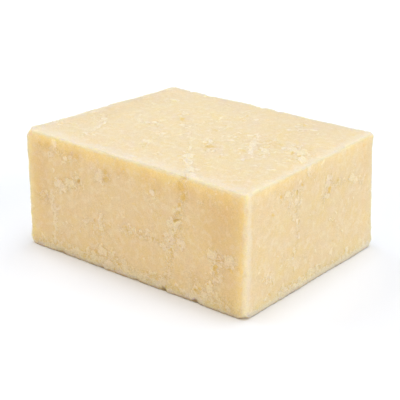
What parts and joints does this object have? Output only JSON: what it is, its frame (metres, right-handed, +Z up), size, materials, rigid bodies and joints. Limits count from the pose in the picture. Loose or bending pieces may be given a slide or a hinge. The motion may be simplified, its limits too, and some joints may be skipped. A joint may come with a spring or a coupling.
{
  "type": "wensleydale cheese block",
  "caption": "Hand-cut oblong block of pale, crumbly white cheese with flat cut faces, soft worn edges and a small crack down the front.",
  "frame": {"origin": "middle of the underside, where the block rests: the bottom centre of its box", "axes": "+X along the long side, +Y across the block away from the wide front face (-Y), +Z up"},
  "size_m": [0.1144, 0.0914, 0.0509],
  "materials": {
    "cheese": "pale creamy yellow curd, soft satin, light passes a little way in, with paler crumbs and small darker pits"
  },
  "bodies": {
    "root": {"cheese_block": "cheese"}
  },
  "joints": []
}
